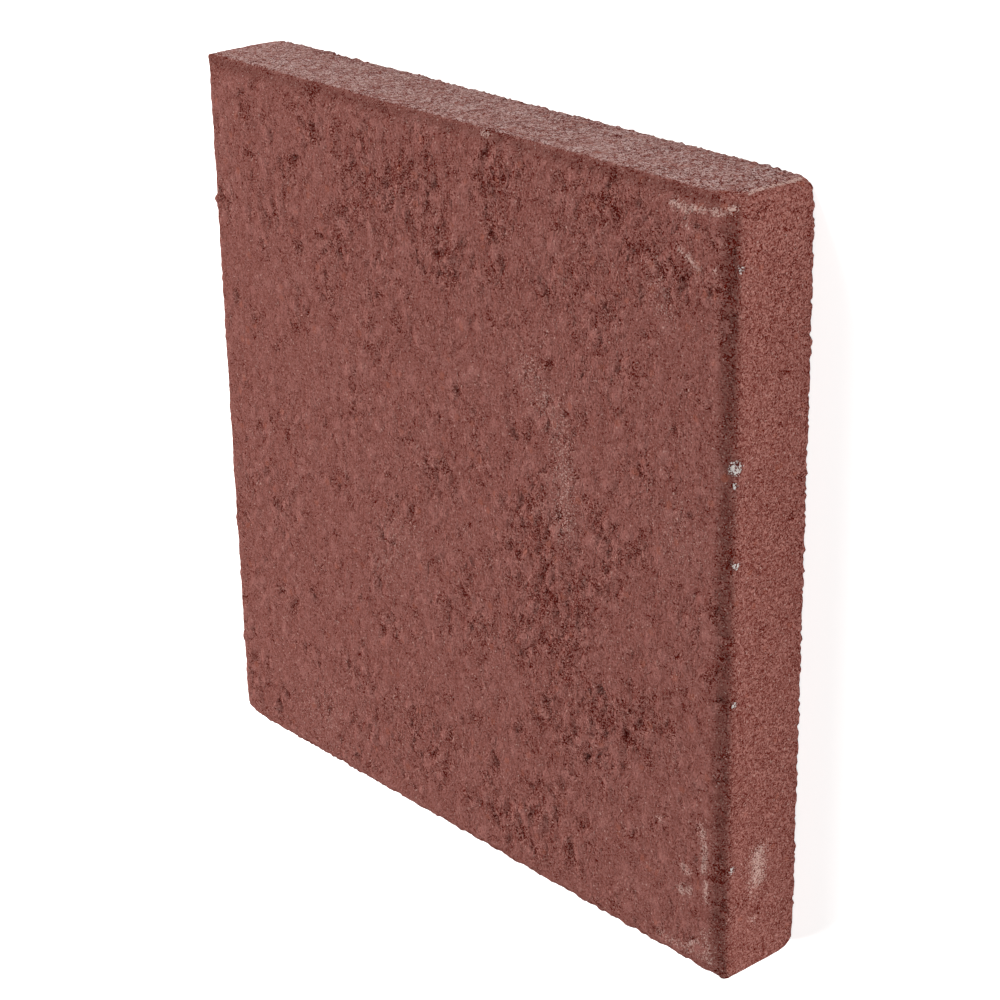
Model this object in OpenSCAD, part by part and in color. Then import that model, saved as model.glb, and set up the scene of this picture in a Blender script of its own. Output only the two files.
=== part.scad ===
// Square concrete paving stone, dry-cast in one piece from red pigmented concrete.
// It lies on its bed face with the finished face up. Millimetres, +Z up,
// origin at the centre of the bed face.

/* [Slab] */
// Length of each side of the square
side_length = 298; // [200:1:600]
// Thickness from the bed face to the finished face
thickness = 40; // [30:0.5:80]

/* [Bevel round the finished face] */
// How far the bevel runs in across the face
bevel_inset = 6; // [3:0.5:15]
// How far the bevel drops down the side
bevel_drop = 4; // [2:0.5:8]
// Radius of the soft arris between bevel and side
arris_radius = 3; // [1:0.25:5]

/* [Other edges] */
// Radius of the arris round the bed face
bed_radius = 1; // [0.5:0.25:3]
// Radius of the four upright corner edges
corner_radius = 1.5; // [0.5:0.25:4]

/* [Hidden] */

$fn = 96;
half_side = side_length / 2;
// How far cutters and crossing bars run past the stone
overrun = 10;
// A round is cut with a circle that is larger by this share of its radius,
// so that the arc crosses both of its edges cleanly instead of only touching them
crossing_share = 0.0005;

// Directions along the outlines, which run anticlockwise
outward = [1, 0];
inward = [-1, 0];
upward = [0, 1];
up_the_bevel = [-bevel_inset, bevel_drop] / norm([bevel_inset, bevel_drop]);

function left_of(direction) = [-direction[1], direction[0]];

// What a round takes off a convex corner, where the outline arrives along one
// direction and leaves along the next
module corner_tip(corner, arriving, leaving, radius) {
    reach = radius * tan(acos(arriving * leaving) / 2);
    arc_start = corner - arriving * reach;
    arc_end = corner + leaving * reach;
    centre = arc_start + left_of(arriving) * radius;
    difference() {
        polygon([
            centre,
            arc_start - left_of(arriving) * overrun,
            corner + (arriving - leaving) * overrun,
            arc_end - left_of(leaving) * overrun
        ]);
        translate(centre) circle(r = radius * (1 + crossing_share));
    }
}

// Section through the slab, the same across either pair of sides
module slab_section() {
    bevel_foot = [half_side, thickness - bevel_drop];
    difference() {
        polygon([
            [-half_side, 0],
            [half_side, 0],
            bevel_foot,
            [half_side - bevel_inset, thickness],
            [bevel_inset - half_side, thickness],
            [-half_side, thickness - bevel_drop]
        ]);
        for (side = [0, 1])
            mirror([side, 0]) {
                corner_tip(bevel_foot, upward, up_the_bevel, arris_radius);
                corner_tip([half_side, 0], outward, upward, bed_radius);
            }
    }
}

// The section drawn out along Y, past both ends of the stone
module slab_bar() {
    rotate([90, 0, 0])
        linear_extrude(height = side_length + 2 * overrun, center = true) slab_section();
}

// Upright cutters that round the four corner edges of the square
module corner_edges() {
    for (quarter = [0 : 3])
        rotate([0, 0, 90 * quarter])
            translate([0, 0, -overrun])
                linear_extrude(height = thickness + 2 * overrun)
                    corner_tip([half_side, half_side], upward, inward, corner_radius);
}

// Two crossing bars share only the stone, so the bevels meet in mitres at its corners
module paving_stone() {
    color("#84544e")
        difference() {
            intersection() {
                slab_bar();
                rotate([0, 0, 90]) slab_bar();
            }
            corner_edges();
        }
}

paving_stone();
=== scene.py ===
# %% [markdown]
# # A red concrete paving stone
# The real object is one slab of dry-cast concrete: a stiff red mix, pressed into a square mould,
# pushed out at once and left to cure. It has a bevel round its finished face, an open, sandy
# texture, and the scuffs of a stone that has been stacked and moved. The frame gives the plain
# slab at its real size. This lesson lays the cast surface over it and lights it.

# %% Load the frame
import math

import bpy
import numpy as np
from mathutils import Matrix, Vector, kdtree, noise


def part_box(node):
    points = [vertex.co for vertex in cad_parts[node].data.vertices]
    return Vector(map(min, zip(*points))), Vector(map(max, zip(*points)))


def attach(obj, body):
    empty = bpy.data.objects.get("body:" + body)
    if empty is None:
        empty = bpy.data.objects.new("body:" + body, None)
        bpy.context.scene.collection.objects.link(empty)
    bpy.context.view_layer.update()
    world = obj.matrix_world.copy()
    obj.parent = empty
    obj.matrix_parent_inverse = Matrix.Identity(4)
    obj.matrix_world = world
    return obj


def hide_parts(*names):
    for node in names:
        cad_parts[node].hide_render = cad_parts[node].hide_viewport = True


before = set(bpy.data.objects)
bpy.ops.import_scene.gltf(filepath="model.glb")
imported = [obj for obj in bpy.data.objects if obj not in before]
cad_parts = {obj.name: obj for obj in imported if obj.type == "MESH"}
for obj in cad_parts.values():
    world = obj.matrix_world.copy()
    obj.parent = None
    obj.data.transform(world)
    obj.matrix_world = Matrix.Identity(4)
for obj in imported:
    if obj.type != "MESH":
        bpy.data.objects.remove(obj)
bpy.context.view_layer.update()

MM = 0.001
stone_low, stone_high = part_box("paving_stone")
side_length = (stone_high.x - stone_low.x) / MM
thickness = (stone_high.z - stone_low.z) / MM
half_side = side_length / 2
print(f"frame: a slab {side_length:.0f} mm square and {thickness:.0f} mm thick")

# %% [markdown]
# ## Camera
# The stone lies flat, so the camera looks down on it, from the stone's right and from beyond its
# top edge. Place and aim are real distances from the centre of the bed. The stone's own +Y is up in
# the picture, so the camera is levelled on +Y and then rolled by about a degree. The lens is a
# short telephoto, which is why the slab's sides run together only a little. The Standard view shows
# each colour as it is written.

# %% Camera
camera_place = Vector((704.8, 380.6, 619.8)) * MM
camera_aim = Vector((31.15, 8.61, 40.0)) * MM
camera_roll = math.radians(-1.08)
picture_side_px = 1000
focal_length_px = 2564

camera = bpy.data.objects.new("camera", bpy.data.cameras.new("camera"))
bpy.context.scene.collection.objects.link(camera)
camera.data.sensor_width = 36
camera.data.lens = camera.data.sensor_width * focal_length_px / picture_side_px
sight = (camera_aim - camera_place).normalized()
rightward = sight.cross(Vector((0, 1, 0))).normalized()
level = Matrix((rightward, rightward.cross(sight), -sight)).transposed().to_4x4()
camera.matrix_world = Matrix.Translation(camera_place) @ level @ Matrix.Rotation(camera_roll, 4, "Z")
bpy.context.scene.camera = camera
bpy.context.scene.view_settings.view_transform = "Standard"
print(f"camera: {camera.data.lens:.1f} mm lens, {(camera_aim - camera_place).length:.2f} m from the face")

# %% [markdown]
# ## Colours and nodes
# Every colour below is written as the sRGB hex value that the eye would see on a screen. Blender's
# shaders work on linear light, so one function converts them. A second small function adds a node
# to a material and fills its inputs, so that each line below reads as one step of the recipe.


# %% Colours and nodes
def linear(hex_colour):
    """An sRGB hex value as the linear RGBA that a shader socket takes."""
    shares = [int(hex_colour[i : i + 2], 16) / 255 for i in (1, 3, 5)]
    return [s / 12.92 if s <= 0.04045 else ((s + 0.055) / 1.055) ** 2.4 for s in shares] + [1.0]


def add(tree, kind, inputs=None, **settings):
    """Add a node. Settings are its options, inputs are numbers, hex colours, sockets or nodes."""
    made = tree.nodes.new(kind)
    for option, value in settings.items():
        setattr(made, option, value)
    in_use = [socket for socket in made.inputs if socket.enabled]
    for place, source in (inputs or {}).items():
        socket = in_use[place] if isinstance(place, int) else next(s for s in in_use if s.name == place)
        if isinstance(source, bpy.types.Node):
            source = next(s for s in source.outputs if s.enabled)
        if isinstance(source, bpy.types.NodeSocket):
            tree.links.new(source, socket)
        else:
            socket.default_value = linear(source) if isinstance(source, str) else source
    return made


# %% [markdown]
# ## Floor
# A plain white sweep of painted board. Seen by the camera it glows a little, so that it reads as
# white paper at a plain light level, and it still takes the stone's shadow, because the glow is only
# added to what the lamps give. For every other ray it is an ordinary matt white floor.

# %% Floor
floor_side = 8.0
floor_glow = 0.8

floor_mesh = bpy.data.meshes.new("floor")
corner = floor_side / 2
floor_corners = [(-corner, -corner, 0), (corner, -corner, 0), (corner, corner, 0), (-corner, corner, 0)]
floor_mesh.from_pydata(floor_corners, [], [(0, 1, 2, 3)])
floor = bpy.data.objects.new("floor", floor_mesh)
bpy.context.scene.collection.objects.link(floor)

board = bpy.data.materials.new("white_painted_board")
board.use_nodes = True
tree = board.node_tree
tree.nodes.clear()
ray = add(tree, "ShaderNodeLightPath").outputs
seen = add(tree, "ShaderNodeMath", {0: ray["Is Camera Ray"], 1: ray["Is Glossy Ray"]}, operation="MAXIMUM")
seen = add(tree, "ShaderNodeMath", {0: seen, 1: ray["Is Transmission Ray"]}, operation="MAXIMUM")
glow = add(tree, "ShaderNodeMath", {0: seen, 1: floor_glow}, operation="MULTIPLY")
paint = add(tree, "ShaderNodeBsdfDiffuse", {"Color": "#e6e6e4"})
shine = add(tree, "ShaderNodeEmission", {"Color": "#ffffff", "Strength": glow})
both = add(tree, "ShaderNodeAddShader", {0: paint, 1: shine})
add(tree, "ShaderNodeOutputMaterial", {"Surface": both})
floor.data.materials.append(board)
print(f"floor: a white board {floor_side:.0f} m square")

# %% [markdown]
# ## Room
# Beyond the board the camera sees plain white, as in a picture on a white page. To everything else
# the room is nearly dark, so that the soft boxes alone shape the stone.

# %% Room
room_light = 0.06

room = bpy.data.worlds.new("white_studio")
bpy.context.scene.world = room
room.use_nodes = True
tree = room.node_tree
tree.nodes.clear()
ray = add(tree, "ShaderNodeLightPath").outputs
seen = add(tree, "ShaderNodeMath", {0: ray["Is Camera Ray"], 1: ray["Is Glossy Ray"]}, operation="MAXIMUM")
seen = add(tree, "ShaderNodeMath", {0: seen, 1: ray["Is Transmission Ray"]}, operation="MAXIMUM")
strength = add(tree, "ShaderNodeMapRange", {"Value": seen, "To Min": room_light, "To Max": 1.0})
walls = add(tree, "ShaderNodeBackground", {"Color": "#ffffff", "Strength": strength})
add(tree, "ShaderNodeOutputWorld", {"Surface": walls})
print("room: white to the camera, dim to everything else")

# %% [markdown]
# ## Light
# Two soft boxes and two strips. The boxes stand to the left, below and above, and rake across the
# face, which is what makes the pits and grains show on every side. One strip is low on the right and
# lights that side without reaching the bevel much. The other lights the top side.


# %% Light
def soft_box(name, place, width, height, power):
    """A rectangular lamp, in metres and watts, that faces the stone and isn't seen itself."""
    lamp = bpy.data.lights.new(name, "AREA")
    lamp.shape = "RECTANGLE"
    lamp.size = width
    lamp.size_y = height
    lamp.energy = power
    stand = bpy.data.objects.new(name, lamp)
    bpy.context.scene.collection.objects.link(stand)
    stand.location = place
    towards_stone = Vector((0, 0, thickness * MM)) - Vector(place)
    stand.rotation_euler = towards_stone.to_track_quat("-Z", "Y").to_euler()
    stand.visible_camera = False
    print(f"light: {name}, {power} W at {towards_stone.length:.2f} m")


soft_box("left_box", (-1.75, -1.25, 1.29), 1.0, 1.0, 78)
soft_box("upper_box", (-1.14, 1.64, 1.70), 1.0, 1.0, 45.5)
soft_box("right_strip", (1.40, 0.0, 0.09), 1.0, 0.16, 18.0)
soft_box("top_strip", (0.0, 1.40, 0.19), 1.0, 0.2, 7.2)

# %% [markdown]
# ## The slab's smooth skin
# The finished face is a fine square grid, because that is where pits and grains will be pushed in
# and out. From its rim the section walks down as rings: over the bevel, round the soft arris, down
# the side and round the bed's arris. Each ring has as many points as the grid's rim, so the quads
# run through, and the bevels meet in mitres at the corners. The bed, which lies on the floor, is a
# coarse grid with a collar.

# %% Section of the edge
bevel_inset, bevel_drop = 6.0, 4.0
arris_radius, bed_radius, corner_radius = 3.0, 1.0, 1.5
bevel_rows, arris_rows, side_rows, bed_rows = 5, 4, 16, 3

bevel_facing = math.atan2(bevel_inset, bevel_drop)
arris_middle = thickness - bevel_drop - arris_radius * math.tan(bevel_facing / 2)


def arc(middle_inset, middle_height, radius, facings):
    """Points of a round edge as (inset, height, facing), facing measured up from the horizontal."""
    return [
        (middle_inset - radius * math.cos(a), middle_height + radius * math.sin(a), a) for a in facings
    ]


def between(first, last, rows):
    """The last `rows` of evenly spaced values from first to last."""
    return np.linspace(first, last, rows + 1)[1:]


arris = arc(arris_radius, arris_middle, arris_radius, between(bevel_facing, 0, arris_rows))
foot_inset, foot_height, _ = arc(arris_radius, arris_middle, arris_radius, [bevel_facing])[0]
bevel_insets = between(bevel_inset, foot_inset, bevel_rows)
bevel_heights = between(thickness, foot_height, bevel_rows)
bevel = [(inset, height, bevel_facing) for inset, height in zip(bevel_insets, bevel_heights)]
side = [(0.0, height, 0.0) for height in between(arris_middle, bed_radius, side_rows)]
bed_arris = arc(bed_radius, bed_radius, bed_radius, between(0, -math.pi / 2, bed_rows))
rings = bevel + arris + side + bed_arris
print(f"section: {len(rings)} rings from the face down to the bed")

# %% Points of the skin
face_cells, bed_step, bed_margin = 256, 8, 6.0

across = np.linspace(-1, 1, face_cells + 1)
grid = np.stack(np.meshgrid(across, across, indexing="ij"), -1).reshape(-1, 2)
step = np.arange(face_cells)
none, full = np.zeros_like(step), np.full_like(step, face_cells)
rim_sides = ((step, none), (full, step), (full - step, full), (none, full - step))
rim = np.concatenate([np.stack(pair, 1) for pair in rim_sides])
rim_share = across[rim]
rim_outward = np.where(np.abs(rim_share) == 1, rim_share, 0)
rim_outward = rim_outward / np.linalg.norm(rim_outward, axis=1, keepdims=True)


def with_height(flat, height):
    """Points or directions in the plane, given one height."""
    return np.column_stack([flat, np.full(len(flat), height)])


places = [with_height(grid * (half_side - bevel_inset), thickness)]
facings = [with_height(grid * 0, 1.0)]
for inset, height, facing in rings:
    places.append(with_height(rim_share * (half_side - inset), height))
    facings.append(with_height(rim_outward * math.cos(facing), math.sin(facing)))
bed_cells = face_cells // bed_step
bed_across = np.linspace(-1, 1, bed_cells + 1)
bed_grid = np.stack(np.meshgrid(bed_across, bed_across, indexing="ij"), -1).reshape(-1, 2)
places.append(with_height(bed_grid * (half_side - bed_radius - bed_margin), 0.0))
facings.append(with_height(bed_grid * 0, -1.0))
first_of = np.cumsum([0] + [len(p) for p in places])
places, facings = np.concatenate(places), np.concatenate(facings)
print(f"skin: {len(places)} points")

# %% Rounded upright corners
upright_middle = half_side - corner_radius
past = np.abs(places[:, :2]) - upright_middle
reach = np.linalg.norm(past, axis=1)
in_corner = (past.min(axis=1) > 0) & (reach > corner_radius)
rounded = upright_middle + past[in_corner] * (corner_radius / reach[in_corner])[:, None]
places[in_corner, :2] = np.sign(places[in_corner, :2]) * rounded
print(f"skin: {in_corner.sum()} points drawn in to the rounded corners")


# %% Faces of the skin
def grid_faces(first, cells, upward):
    """Quads of a square grid of points, seen from above or from below."""
    i, j = np.meshgrid(np.arange(cells), np.arange(cells), indexing="ij")
    here = (first + i * (cells + 1) + j).ravel()
    quads = np.stack([here, here + cells + 1, here + cells + 2, here + 1], 1)
    return (quads if upward else quads[:, ::-1]).tolist()


face_rim = rim[:, 0] * (face_cells + 1) + rim[:, 1]
ring_points = [face_rim] + [first_of[n + 1] + np.arange(len(rim)) for n in range(len(rings))]
faces = grid_faces(0, face_cells, True)
for upper, lower in zip(ring_points, ring_points[1:]):
    faces += np.stack([upper, lower, np.roll(lower, -1), np.roll(upper, -1)], 1).tolist()

bed_first = int(first_of[-2])
faces += grid_faces(bed_first, bed_cells, False)
bed_rim = bed_first + (rim[::bed_step, 0] * (bed_cells + 1) + rim[::bed_step, 1]) // bed_step
last_ring = ring_points[-1]
for n in range(len(bed_rim)):
    following = (n + 1) % len(bed_rim)
    outer = [int(last_ring[(n * bed_step + k) % len(last_ring)]) for k in range(bed_step + 1)]
    faces.append([int(bed_rim[n]), int(bed_rim[following])] + outer[::-1])
print(f"skin: {len(faces)} faces")

# %% [markdown]
# ## Relief
# Dry-cast concrete is sand and fine gravel that is only just wetted, so its skin is a close-packed
# crust of grains with gaps between them. A sculptor would stamp this by hand. Here it is built from
# its causes: slow waves where the press was uneven, lumps of the coarser grains, small stones with a
# gap along one side, and torn pits where paste is missing. Pits crowd together where the mix was
# dry, so they are drawn at random and weighted by patches at listed places. All places and
# sizes here are millimetres.


# %% Clouds and strokes
seed_stride = Vector((17.3, 5.1, 11.7))  # keeps the clouds of different seeds apart
octave_fade, octave_step = 1.0, 2.0


def cloud(points, size, seed, octaves=1):
    """Smooth noise at each point, from about -1 to 1, with features of one size in millimetres."""
    shift = seed * seed_stride
    spots = (Vector(p) / size + shift for p in points)
    return np.array([noise.fractal(spot, octave_fade, octave_step, octaves) for spot in spots])


def stroke(points, start, end, width):
    """1 along a straight stroke between two places, falling off softly over its width to 0."""
    start, along = np.array(start), np.array(end) - np.array(start)
    reach = along @ along
    share = np.clip((points - start) @ along / reach, 0, 1) if reach else np.zeros(len(points))
    off = np.linalg.norm(points - start - share[:, None] * along, axis=1) / width
    return np.exp(-off * off)


# %% Dry patches
dry_patches = [  # place on the face, radius
    ((-115, 136), 9), ((-78, 136), 8), ((-42, 127), 10), ((-22, 123), 8), ((-8, 134), 9), ((30, 135), 9),
    ((36, 127), 8), ((33, 117), 8), ((75, 140), 8), ((93, 137), 9), ((115, 128), 9), ((126, 119), 9),
    ((135, 108), 7), ((67, 115), 8), ((-94, 115), 7), ((-6, 108), 10), ((-8, 96), 9), ((-60, 93), 9),
    ((-48, 98), 9), ((-36, 108), 8), ((5, 93), 9), ((25, 91), 10), ((63, 92), 9), ((87, 95), 10),
    ((-90, 83), 8), ((-105, 92), 6), ((-96, 51), 8), ((-52, 54), 8), ((68, 53), 9), ((50, 41), 8),
    ((-6, 37), 7), ((106, 43), 8), ((-26, 18), 9), ((-60, 28), 6), ((0, 13), 9), ((-87, 11), 6),
    ((22, 20), 8), ((78, 22), 9), ((85, 11), 10), ((103, 11), 7), ((50, 12), 8), ((-105, -2), 7),
    ((57, -2), 9), ((70, -12), 10), ((55, -20), 10), ((65, -24), 9), ((97, -7), 10), ((-35, -15), 7),
    ((-13, -11), 6), ((-37, -31), 6), ((-104, -40), 8), ((8, -39), 8), ((14, -50), 8), ((27, -51), 8),
    ((50, -44), 10), ((75, -47), 9), ((94, -59), 10), ((118, -51), 7), ((132, -22), 6), ((60, -78), 10),
    ((75, -83), 7), ((10, -90), 8), ((-37, -67), 7), ((-101, -80), 6), ((-68, -102), 6), ((-23, -106), 9),
    ((-18, -118), 9), ((70, -111), 8), ((45, -117), 9), ((-55, -128), 9), ((25, -128), 11),
    ((-120, -130), 7),
]
patch_share, patch_spread = 0.32, 1.4
wander_size, wander_share = 7.0, 0.9
dry_bands = [  # from, to, radius
    ((-60, 122), (110, 118), 45), ((40, -20), (90, -60), 45), ((-20, -115), (50, -120), 25),
]
band_share = 0.29
bevel_in, bevel_down = 2.0, 2.4
bevel_reach, bevel_share = 3.5, 0.5

dryness = np.zeros(len(places))
for (x, y), radius in dry_patches:
    dryness += patch_share * stroke(places, (x, y, thickness), (x, y, thickness), patch_spread * radius)
for (x, y), (to_x, to_y), radius in dry_bands:
    dryness += band_share * stroke(places, (x, y, thickness), (to_x, to_y, thickness), radius)
bevel_middle = np.array([half_side - bevel_in, half_side, thickness - bevel_down])
right_bevel = stroke(places, bevel_middle * (1, -1, 1), bevel_middle, bevel_reach)
dryness += bevel_share * right_bevel + wander_share * cloud(places, wander_size, 4, 2)
dryness = np.clip(dryness, 0, 1)
on_face = np.flatnonzero(places[:, 2] > thickness - bevel_drop / 2)
print(f"relief: the face is {dryness[on_face].mean():.0%} dry")

# %% Waves and lumps
wave_size, wave_height = 45.0, 0.12
lump_size, lump_height = 5.0, 0.75
grain_size, grain_height = 2.0, 0.42
calm_roughness, dry_roughness, side_calm = 0.5, 1.4, 0.75
calm_openness, dry_openness, dry_grit = 0.6, 0.4, 0.9
strip_fade = 2.0

stripped = np.clip((thickness - bevel_drop + strip_fade / 2 - places[:, 2]) / strip_fade, 0, 1)
roughness = (calm_roughness + dry_roughness * dryness) * (1 - side_calm * stripped)
openness = (calm_openness + dry_openness * dryness) * (1 - stripped)
grit = np.maximum(stripped, dry_grit * dryness)
lumps = lump_height * cloud(places, lump_size, 2) + grain_height * cloud(places, grain_size, 3)
relief = wave_height * cloud(places, wave_size, 1, 2) + roughness * lumps
print(f"relief: waves and lumps of {relief.min():.2f} to {relief.max():.2f} mm")

# %% Small stones under the skin
draw = np.random.default_rng(12)
near = kdtree.KDTree(len(places))
for n, place in enumerate(places):
    near.insert(place, n)
near.balance()
hollow = np.zeros(len(places))
pebble = np.zeros(len(places))
torn = np.zeros(len(places))
pebble_count, pebble_radii, pebble_heights = 1100, (1.5, 3.4), (0.2, 0.6)
gap_width, gap_depths = 1.8, (0.3, 0.9)
calm_weight = 0.25

pebble_weight = calm_weight + dryness[on_face]
for n in draw.choice(on_face, pebble_count, p=pebble_weight / pebble_weight.sum()):
    radius = draw.uniform(*pebble_radii)
    height = draw.uniform(*pebble_heights)
    gap_turn = draw.uniform(0, 2 * math.pi)
    gap_depth = dryness[n] * draw.uniform(*gap_depths)
    for place, m, off in near.find_range(places[n], radius + gap_width):
        if off < radius:
            share = 1 - (off / radius) ** 2
            relief[m] += height * share
            pebble[m] = max(pebble[m], share)
        else:
            turn = math.atan2(place.y - places[n][1], place.x - places[n][0])
            share = max(0, math.cos(turn - gap_turn)) * (1 - (off - radius) / gap_width)
            relief[m] -= gap_depth * share
            hollow[m] = max(hollow[m], gap_depth * share)
print(f"relief: {pebble_count} small stones")


# %% Torn pits
dent_sizes, dent_depths, dent_steps, dent_turn = (0.8, 1.25), (0.6, 1.2), (0.6, 1.2), 0.9


def dent(middle, radius, depth):
    """Push a rounded dent into the relief, and remember how hollow the skin is there."""
    for _, m, off in near.find_range(middle, radius):
        share = 1 - (off / radius) ** 2
        relief[m] -= depth * share
        hollow[m] = max(hollow[m], share)


def tear(start, dents, radius, depth):
    """A ragged pit: a few dents in a row that wanders over the face."""
    heading = draw.uniform(0, 2 * math.pi)
    place = np.array(start)
    for _ in range(dents):
        dent(place, radius * draw.uniform(*dent_sizes), depth * draw.uniform(*dent_depths))
        heading += draw.normal(0, dent_turn)
        ahead = np.array([math.cos(heading), math.sin(heading), 0])
        place = place + radius * draw.uniform(*dent_steps) * ahead


tear_count, most_dents, tear_radii, tear_depths = 160, 4, (1.0, 1.4), (0.3, 0.8)
least_weight = 0.03
tear_weight = least_weight + dryness[on_face] ** 2
for n in draw.choice(on_face, tear_count, p=tear_weight / tear_weight.sum()):
    dents = draw.integers(1, most_dents + 1)
    tear(places[n], dents, draw.uniform(*tear_radii), draw.uniform(*tear_depths))
print(f"relief: {tear_count} torn pits, down to {relief.min():.2f} mm")

# %% Deep tears
face_tears = [  # from, to
    ((36, 135), (39, 127)), ((30, 137), (33, 131)), ((92, 138), (96, 134)), ((104, 147), (108.5, 146)),
    ((-119.5, -130), (-119, -134)), ((8, -37), (10, -44)), ((57, -19), (62, -24)), ((98, -4), (95, -10)),
    ((94, -57), (92, -62)), ((-8, 137), (-6, 131)), ((86, 97), (90, 93)), ((-92, 82), (-87, 84)),
    ((67, 55), (70, 50)), ((78, 24), (81, 20)), ((106, 45), (108, 41)), ((-27, 17), (-22, 19)),
    ((125, 120), (127, 116)), ((121, 124), (121.5, 121)), ((144, -106), (146.5, -109)),
    ((134, -134), (135, -136)),
]
edge_tears = [
    ((-147, half_side, 34), (-143.5, half_side, 30)), ((22, 148.5, 36.5), (29, 148.5, 36.5)),
    ((half_side, -117, 26), (half_side, -119, 26)), ((half_side, -125, 20), (half_side, -127, 20)),
    ((half_side, 40, 3), (half_side, 44, 4)), ((62, half_side, 10), (64, half_side, 10)),
    ((half_side, 84, 12), (half_side, 82, 14)), ((half_side, 28, 10), (half_side, 30, 4)),
    ((148.5, 55.8, 36.5), (148.8, 54.6, 34.6)), ((half_side, 147, 29), (half_side, 140, 25.5)),
    ((137.8, half_side, 26.5), (146, half_side, 28)),
]
tear_radius, tear_depth, tear_wander, dent_spacing = 1.1, 0.8, 0.8, 1.1
deep_sizes, deep_depths = (0.85, 1.3), (0.7, 1.2)
deepest_pit = 1.5

deep_tears = [((*start, thickness), (*end, thickness)) for start, end in face_tears] + edge_tears
for start, end in deep_tears:
    length = math.dist(start, end)
    for share in np.linspace(0, 1, int(length / dent_spacing) + 2):
        middle = Vector(start).lerp(Vector(end), share) + Vector(draw.normal(0, tear_wander, 3))
        dent(middle, tear_radius * draw.uniform(*deep_sizes), tear_depth * draw.uniform(*deep_depths))
        torn = np.maximum(torn, stroke(places, middle, middle, tear_radius))
relief = np.maximum(relief, -deepest_pit)
print(f"relief: {len(deep_tears)} deep tears")

# %% [markdown]
# ## Rough edges and worn corners
# The mould strips off grains along the edges, so the arrises round the bed and along the bottom of
# the face are crumbled, while the left one stayed smooth. Where the stone was set down on its
# corners they are worn off: each is cut back to a rough plane. One upright edge is worn along its
# whole height.

# %% Rough edges
crumble_size, crumble_height, crumble_reach, bottom_share = 2.0, 1.0, 4.0, 0.8
crumble_tear = 2.0

at_side = np.abs(places[:, :2]).max(axis=1) > half_side - bed_radius - crumble_reach / 2
bed_crumble = at_side * np.clip(1 - places[:, 2] / crumble_reach, 0, 1)
from_arris = np.abs(places[:, 2] - (thickness - bevel_drop)) / crumble_reach
bottom_crumble = (places[:, 1] < arris_radius - half_side) * np.clip(1 - from_arris, 0, 1)
crumbled = np.maximum(bed_crumble, bottom_share * bottom_crumble)
crumbs = cloud(places, crumble_size, 5, 2)
relief += crumbled * crumble_height * crumbs
torn = np.maximum(torn, crumbled * np.clip(-crumble_tear * crumbs, 0, 1))
skin = places + facings * relief[:, None]
print(f"edges: {np.count_nonzero(crumbled)} points crumbled")

# %% Worn corners
worn_corners = [  # which corner, or upright edge where the last sign is 0; depth of the cut; its softness
    ((-1, -1, 1), 6.0, 1.5), ((1, 1, 1), 8.0, 3.0), ((1, 1, 0), 1.8, 3.0), ((1, -1, 1), 1.5, 1.5),
    ((1, 1, -1), 1.8, 1.5), ((1, -1, -1), 2.2, 1.5), ((-1, 1, -1), 1.2, 1.5),
]
wear_size, wear_height, wear_reach = 4.0, 0.35, 4

stone_middle = np.array([0, 0, thickness / 2])
for signs, cut, softness in worn_corners:
    outward = np.array(signs) / np.linalg.norm(signs)
    tip = np.array([half_side, half_side, thickness / 2]) * signs
    over = (skin - stone_middle - tip) @ outward + cut + wear_height * cloud(skin, wear_size, 6)
    worn = (over + np.hypot(over, softness)) / 2
    skin -= np.where(over > -wear_reach * softness, worn, 0)[:, None] * outward
skin[:, 2] = np.clip(skin[:, 2], 0, None)
print(f"edges: {len(worn_corners)} worn corners")

# %% [markdown]
# ## Marks on the stone
# Lime salts that bloomed on the face, scuffs from other stones, pale chips along the near arris with
# painted shade in them, painted shade on the right bevel and less on the top bevel, and a pale coat
# on the top side that is partly dust and partly painted sheen. Each is a soft stroke at its place in
# millimetres, stored on the points as a share from 0 to 1. The material breaks it up with fine noise,
# so no mark has a clean edge.

# %% Blooms and scuffs
blooms = [  # from, to, width, strength
    ((49, 64), (55, 56), 9, 0.2), ((63, 50), (66, 38), 8, 0.2), ((67, 30), (67, 10), 8, 0.25),
    ((-29, -24), (-40, -40), 12, 0.12), ((-93, -129), (-85, -125), 14, 0.12),
    ((128, 30), (128, 20), 12, 0.1), ((114, 113), (120, 103), 6, 0.15),
]
scuffs = [
    ((121.5, 143), (128, 142), 1.8, 0.6), ((130, 142.5), (136, 144), 1.5, 0.6),
    ((140, 144), (148, 147), 1.8, 0.6), ((127.5, 139), (128.5, 136), 1.0, 0.45),
    ((125, 128), (129, 126), 1.4, 0.5), ((129, 125.5), (134, 122.5), 1.5, 0.5),
    ((141.5, 124), (141.5, 124), 0.9, 0.5), ((114.7, 122), (114.7, 122), 0.8, 0.5),
    ((138.6, -86.5), (141, -95), 1.9, 0.5), ((141, -95), (140.2, -104), 2.0, 0.5),
    ((130.5, -107), (133, -108), 2.4, 0.4), ((141.7, -109), (142, -116.5), 1.4, 0.5),
    ((129, -117), (133, -115.5), 2.6, 0.42), ((142, -130), (143.5, -141), 2.6, 0.34),
    ((134, -138), (138, -135), 1.2, 0.5), ((118, -141), (141, -140.5), 2.0, 0.28),
    ((117, -92), (119, -93), 1.2, 0.4),
]
side_scuffs = [
    ((-101, 20.5), (-111, 20.5), 4.2, 0.58), ((-116, 23.5), (-120, 23), 1.2, 0.4),
    ((-127, 23), (-129, 23), 1.4, 0.45),
]
edge_scuffs = [
    ((144.3, half_side, 26), (145.2, half_side, 3), 1.1, 0.9), ((22, 148, 37), (25, 148, 37), 1.4, 0.7),
    ((146, 147, 38.5), (148, 147, 37.5), 1.8, 0.8),
]

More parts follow.
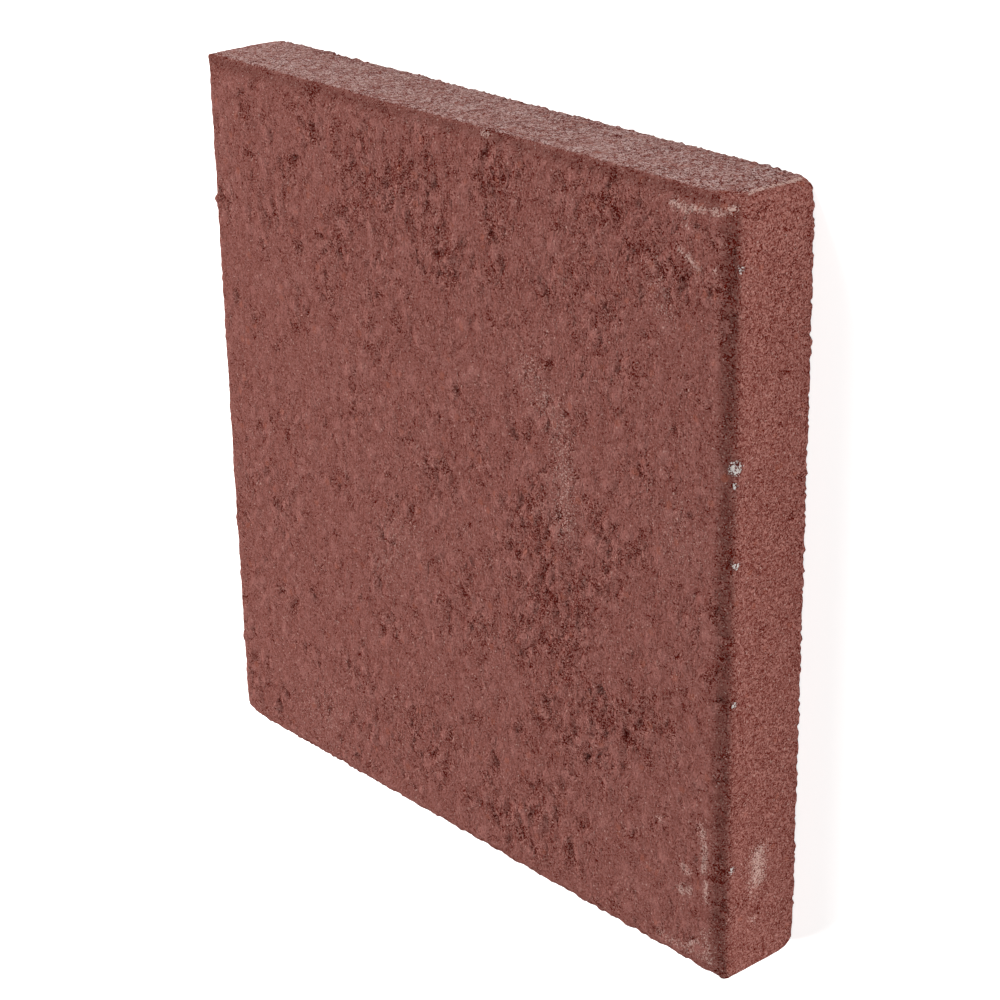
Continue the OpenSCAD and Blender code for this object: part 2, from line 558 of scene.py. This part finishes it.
pale_strokes = [((*start, thickness), (*end, thickness), w, s) for start, end, w, s in blooms + scuffs]
pale_strokes += [((half_side, *start), (half_side, *end), w, s) for start, end, w, s in side_scuffs]
pale_strokes += edge_scuffs
bloom = np.zeros(len(places))
for start, end, width, share in pale_strokes:
    bloom = np.maximum(bloom, share * stroke(places, start, end, width))
print(f"marks: {len(blooms)} blooms and {len(pale_strokes) - len(blooms)} scuffs")

# %% Chips, painted bevel shade, and dust with painted sheen
chips = [  # place, radius
    ((148.5, 125, 35.3), 1.5), ((148.5, 54.5, 35.6), 3.0), ((148.5, 48, 36), 1.1),
    ((148.5, 18, 35), 1.5), ((148.5, -35.5, 34.5), 1.4), ((148.5, -102.5, 33.8), 1.6),
]
# The top side's pale coat, partly dust and partly painted sheen, starts below the bevel and is
# worn off towards the two upright edges of the top side.
dust_and_sheen_start, dust_and_sheen_fade = 35.6, 0.8
dust_and_sheen_cover, dust_and_sheen_cloud_size, dust_and_sheen_cloud_share = 0.85, 8.0, 0.35
worn_line, worn_edge, worn_fade, left_fade = 171.0, 3.5, 2.0, 5.0
top_bevel_shade = 0.6

chip = np.zeros(len(places))
for middle, radius in chips:
    chip = np.maximum(chip, stroke(places, middle, middle, radius))
on_top_side = places[:, 1] > half_side - arris_radius / 2
top_middle = bevel_middle[[1, 0, 2]]
top_bevel = stroke(places, top_middle * (-1, 1, 1), top_middle, bevel_reach)
# Painted shade: the right bevel, and the top bevel less, are darkened where the lamps reach little.
painted_bevel_shade = np.maximum(right_bevel, top_bevel_shade * top_bevel)
# The top side's pale coat: dust, and painted sheen of a side seen at a grazing angle.
dust_and_sheen = on_top_side * np.clip((dust_and_sheen_start - places[:, 2]) / dust_and_sheen_fade, 0, 1)
dust_and_sheen *= np.clip((worn_line - places[:, 0] - places[:, 2]) / worn_fade, 0, 1)
dust_and_sheen *= np.clip((half_side - worn_edge - places[:, 0]) / worn_fade, 0, 1)
dust_and_sheen *= np.clip((half_side + places[:, 0]) / left_fade, 0, 1)
dust_and_sheen *= np.clip(dust_and_sheen_cover + dust_and_sheen_cloud_share * cloud(places, dust_and_sheen_cloud_size, 7, 2), 0, 1)
print(f"marks: {len(chips)} chips, and dust on the top side")

# %% [markdown]
# ## The mesh
# The points become one closed mesh, smooth-shaded throughout, because every edge of a cast is soft.
# Each mark is stored on the points as an attribute of its own, which the material reads by name. The
# piece rides on the slab's body and takes the plain slab's place.

# %% Build the mesh
mesh = bpy.data.meshes.new("cast_stone")
mesh.from_pydata((skin * MM).tolist(), [], faces)
mark_values = {
    "hollow": hollow, "pebble": pebble, "torn": torn, "dryness": dryness, "openness": openness,
    "stripped": stripped, "grit": grit, "bloom": bloom, "chip": chip, "dust_and_sheen": dust_and_sheen, "painted_bevel_shade": painted_bevel_shade,
}
for name, values in mark_values.items():
    mesh.attributes.new(name, "FLOAT", "POINT").data.foreach_set("value", values.astype(np.float32))

mesh.polygons.foreach_set("use_smooth", [True] * len(mesh.polygons))
mesh.update()

stone = bpy.data.objects.new("cast_stone", mesh)
bpy.context.scene.collection.objects.link(stone)
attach(stone, "root")
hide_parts("paving_stone")
mesh.calc_loop_triangles()
print(f"mesh: {len(mesh.loop_triangles)} triangles, valid: {not mesh.validate()}")

# %% [markdown]
# ## Red dry-cast concrete
# Cement, sand and fine gravel, coloured right through with red iron oxide. To the eye it is matt and
# grainy: dull red paste, dark pinholes between the grains with painted shade in and round them, paler
# tops on the small stones, a few orange and pale grains that show through, greyish lime on the face,
# painted shade on the right and top bevels, and on the top side a pale coat that is partly dust and
# partly painted sheen. Concrete's IOR is about 1.5, but its open, dusty surface has no sheen, so the
# roughness is high and the specular level is 0.
# Patterns take their scale from real grain sizes: pinholes of half a millimetre, grit of 1.4 mm and
# stones of 4 mm. Fine sand of 0.2 mm would vanish in the picture, so it is drawn as coarse as 0.6 mm.

# %% Concrete: patterns
cloud_mm, sand_mm, gap_mm, gravel_mm, stone_mm = 12.0, 0.6, 0.55, 1.4, 4.2
wander_mm, wander_reach_mm = 2.0, 1.8

concrete = bpy.data.materials.new("red_dry_cast_concrete")
concrete.use_nodes = True
tree = concrete.node_tree
tree.nodes.clear()
spot = add(tree, "ShaderNodeTexCoord").outputs["Object"]
drawn_sizes = (cloud_mm, sand_mm, gap_mm, gravel_mm, stone_mm, wander_mm)
per_metre = {size: 1 / (size * MM) for size in drawn_sizes}
soft = {"Vector": spot, "Scale": per_metre[cloud_mm], "Detail": 3, "Roughness": 0.55}
cloudy = add(tree, "ShaderNodeTexNoise", soft)
fine = {"Vector": spot, "Scale": per_metre[gap_mm], "Detail": 2, "Roughness": 0.5}
gaps = add(tree, "ShaderNodeTexNoise", fine)
wander = add(tree, "ShaderNodeTexNoise", {"Vector": spot, "Scale": per_metre[wander_mm], "Detail": 2})
bend = {0: wander.outputs["Color"], 1: [wander_reach_mm * MM] * 3, 2: spot}
shifted = add(tree, "ShaderNodeVectorMath", bend, operation="MULTIPLY_ADD")
sand = add(tree, "ShaderNodeTexVoronoi", {"Vector": spot, "Scale": per_metre[sand_mm]})
gravel = add(tree, "ShaderNodeTexVoronoi", {"Vector": shifted, "Scale": per_metre[gravel_mm]})
stones = add(tree, "ShaderNodeTexVoronoi", {"Vector": shifted, "Scale": per_metre[stone_mm]})
sand_kind = add(tree, "ShaderNodeSeparateColor", {"Color": sand.outputs["Color"]}).outputs
gravel_kind = add(tree, "ShaderNodeSeparateColor", {"Color": gravel.outputs["Color"]}).outputs
stone_kind = add(tree, "ShaderNodeSeparateColor", {"Color": stones.outputs["Color"]}).outputs
marks = {}
for name in mark_values:
    marks[name] = add(tree, "ShaderNodeAttribute", attribute_name=name).outputs["Fac"]
print(f"concrete: {len(per_metre)} patterns and {len(marks)} marks")

# %% Concrete: how deep each spot is
pit_edge = 0.166
pit_weights = {
    "dryness": 0.045, "hollow": 0.04, "pebble": -0.05, "torn": 0.15, "stripped": 0.104, "dust_and_sheen": 0.06,
    "painted_bevel_shade": 0.03,
}
stone_gap, grit_gap = 0.2, 0.22
gap_speck, sand_speck, stone_tone = 1.2, 0.5, 0.4

for name, weight in pit_weights.items():
    more_open = {0: marks[name], 1: weight, 2: pit_edge}
    pit_edge = add(tree, "ShaderNodeMath", more_open, operation="MULTIPLY_ADD")
crevice = add(tree, "ShaderNodeMath", {0: stones, 1: marks["openness"]}, operation="MULTIPLY")
pit_edge = add(tree, "ShaderNodeMath", {0: crevice, 1: stone_gap, 2: pit_edge}, operation="MULTIPLY_ADD")
pit_edge = add(tree, "ShaderNodeMath", {0: gravel, 1: grit_gap, 2: pit_edge}, operation="MULTIPLY_ADD")
depth = add(tree, "ShaderNodeMath", {0: pit_edge, 1: gaps}, operation="SUBTRACT")
speck = add(tree, "ShaderNodeMath", {0: gaps, 1: gap_speck}, operation="MULTIPLY")
speck = add(tree, "ShaderNodeMath", {0: sand_kind[2], 1: sand_speck, 2: speck}, operation="MULTIPLY_ADD")
salty = add(tree, "ShaderNodeMath", {0: marks["bloom"], 1: speck}, operation="ADD")
bare = add(tree, "ShaderNodeMath", {0: marks["chip"], 1: speck}, operation="ADD")
dust_and_sheen_grains = add(tree, "ShaderNodeMath", {0: sand_kind[2], 1: gravel_kind[2]}, operation="ADD")
tones = {"Factor": stone_tone, "A": cloudy, "B": stone_kind[1]}
tone = add(tree, "ShaderNodeMix", tones, data_type="FLOAT")
print("concrete: pits follow the dry patches, the hollows and the small stones")

# %% Concrete: shares of each finish
shares = {}
for name, source, start, end, least, most in (  # what it follows, where that starts and ends to count
    ("grain", marks["grit"], 0.0, 1.0, 0.37, 0.78),
    # painted shade on the bevels
    ("painted_bevel_shade", marks["painted_bevel_shade"], 0.0, 1.0, 0.0, 0.45),
    ("dust_and_sheen_grains", dust_and_sheen_grains, 0.2, 1.7, 0.0, 1.0),
    # painted shade: a soft dark round the pits
    ("hollow", depth, -0.1, 0.02, 0.0, 0.25),
    # the pit shares place painted shade in the pinholes
    ("pit", depth, -0.01, 0.02, 0.0, 0.92),
    ("deep pit", depth, 0.03, 0.12, 0.0, 1.0),
    ("pebble", marks["pebble"], 0.2, 0.8, 0.0, 0.27),
    ("orange", stone_kind[0], 0.93, 0.935, 0.0, 0.36),
    ("orange core", stones, 0.45, 0.25, 0.0, 1.0),
    ("pale grain", sand_kind[1], 0.991, 0.996, 0.0, 0.5),
    ("salt", salty, 1.05, 1.5, 0.0, 0.7),
    # painted shade in the chips, round their pale cores
    ("chip shade", marks["chip"], 0.15, 0.7, 0.0, 0.5),
    ("chip", bare, 1.35, 1.6, 0.0, 0.9),
    ("stone top", stones, 0.62, 0.4, 0.0, 1.0),
    ("stone height", marks["dryness"], 0.0, 0.8, 0.15, 0.6),
    ("sand top", sand, 0.75, 0.1, 0.0, 0.3),
    ("gravel top", gravel, 0.85, 0.0, 0.0, 0.4),
    ("paste top", gaps, 0.25, 0.75, 0.0, 0.4),
):
    limits = {"Value": source, "From Min": start, "From Max": end, "To Min": least, "To Max": most}
    shares[name] = add(tree, "ShaderNodeMapRange", limits, interpolation_type="SMOOTHSTEP")
dust_and_sheen_share = add(tree, "ShaderNodeMath", {0: marks["dust_and_sheen"], 1: shares["dust_and_sheen_grains"]}, operation="MULTIPLY")
orange_stones = {0: shares["orange"], 1: shares["orange core"]}
orange_share = add(tree, "ShaderNodeMath", orange_stones, operation="MULTIPLY")
print(f"concrete: {len(shares)} shares")

# %% Concrete: colour
paste_mixes = {
    "paste": (tone, "#7d463f", "#97635c"),
    "grain": (sand_kind[0], "#62241c", "#a8756c"),
    # Pit colours: painted shade in the pinholes, darker in the deep pits.
    "pit": (shares["deep pit"], "#64140b", "#450b05"),
}
mixed = {}
for name, (share, first, second) in paste_mixes.items():
    mixed[name] = add(tree, "ShaderNodeMix", {"Factor": share, "A": first, "B": second}, data_type="RGBA")
colour = mixed["paste"]
for share, coat in (
    (shares["grain"], mixed["grain"]),
    (shares["pale grain"], "#c3a399"),
    # painted shade on the right bevel and, less, on the top bevel
    (shares["painted_bevel_shade"], "#4f2f29"),
    # pale coat on the top side: dust, and painted sheen of a side seen at a grazing angle
    (dust_and_sheen_share, "#c4aaa5"),
    (shares["pebble"], "#a7716a"),
    (orange_share, "#9c5644"),
    (shares["salt"], "#c9aaa0"),
    # painted shade in the chips, round their pale cores
    (shares["chip shade"], "#33140f"),
    (shares["chip"], "#cdc6c2"),
    # painted shade: a soft dark round the pits
    (shares["hollow"], "#6a2b22"),
    # painted shade in the pits
    (shares["pit"], mixed["pit"]),
):
    colour = add(tree, "ShaderNodeMix", {"Factor": share, "A": colour, "B": coat}, data_type="RGBA")
print("concrete: colour made")

# %% Concrete: fine relief and shader
grain_relief_mm, pit_drop = 0.6, -0.9

height = add(tree, "ShaderNodeMath", {0: shares["sand top"], 1: shares["paste top"]}, operation="ADD")
height = add(tree, "ShaderNodeMath", {0: height, 1: shares["gravel top"]}, operation="ADD")
stone_relief = {0: shares["stone top"], 1: shares["stone height"], 2: height}
height = add(tree, "ShaderNodeMath", stone_relief, operation="MULTIPLY_ADD")
height = add(tree, "ShaderNodeMath", {0: shares["pit"], 1: pit_drop, 2: height}, operation="MULTIPLY_ADD")
bump = add(tree, "ShaderNodeBump", {"Height": height, "Distance": grain_relief_mm * MM, "Strength": 1.0})
finish = {"Base Color": colour, "Roughness": 0.95, "IOR": 1.5, "Specular IOR Level": 0.0, "Normal": bump}
shader = add(tree, "ShaderNodeBsdfPrincipled", finish)
add(tree, "ShaderNodeOutputMaterial", {"Surface": shader})
stone.data.materials.append(concrete)
print("concrete: on the stone")
